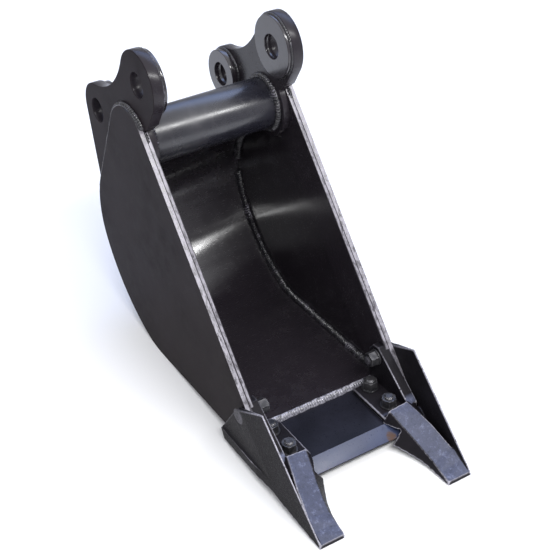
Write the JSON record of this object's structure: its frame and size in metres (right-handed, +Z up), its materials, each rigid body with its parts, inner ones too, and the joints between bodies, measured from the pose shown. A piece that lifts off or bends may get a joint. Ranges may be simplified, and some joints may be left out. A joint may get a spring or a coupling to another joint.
{
  "type": "excavator bucket",
  "caption": "Narrow digging bucket for a small excavator: welded plate body, pin ears, cross tube, cutting edge and bolted cast corner teeth.",
  "frame": {"origin": "middle of the dipper pin's axis, half way between the ears", "axes": "+X along both pins, to the right seen from behind the machine's arm; -Y is the digging side with the mouth and the teeth; +Z up as the bucket rests on its belly and its tooth tips"},
  "size_m": [0.333, 0.818, 0.6028],
  "materials": {
    "body": "semi-gloss dark paint, bare and bright on the worn front edges",
    "tube": "glossy dark paint over a drawn steel tube",
    "edge_steel": "dark paint with a bluish bare bevel",
    "cast_tooth": "slate paint over cast steel, satin",
    "fastener": "dull zinc"
  },
  "bodies": {
    "root": {"side_plate_left": "body", "side_plate_right": "body", "edge_strip_left": "body", "edge_strip_right": "body", "ear_plate_left": "body", "ear_plate_right": "body", "dipper_boss_left": "body", "dipper_boss_right": "body", "link_boss_left": "body", "link_boss_right": "body", "cross_tube": "tube", "back_shell": "body", "cutting_edge": "edge_steel", "side_cutter_left": "cast_tooth", "side_cutter_right": "cast_tooth", "floor_bolts_left": "fastener", "floor_bolts_right": "fastener", "floor_nuts_left": "fastener", "floor_nuts_right": "fastener", "floor_washers_left": "fastener", "floor_washers_right": "fastener", "cheek_bolt_left": "fastener", "cheek_bolt_right": "fastener", "cheek_nut_left": "fastener", "cheek_nut_right": "fastener", "cheek_washer_left": "fastener", "cheek_washer_right": "fastener"}
  },
  "joints": []
}
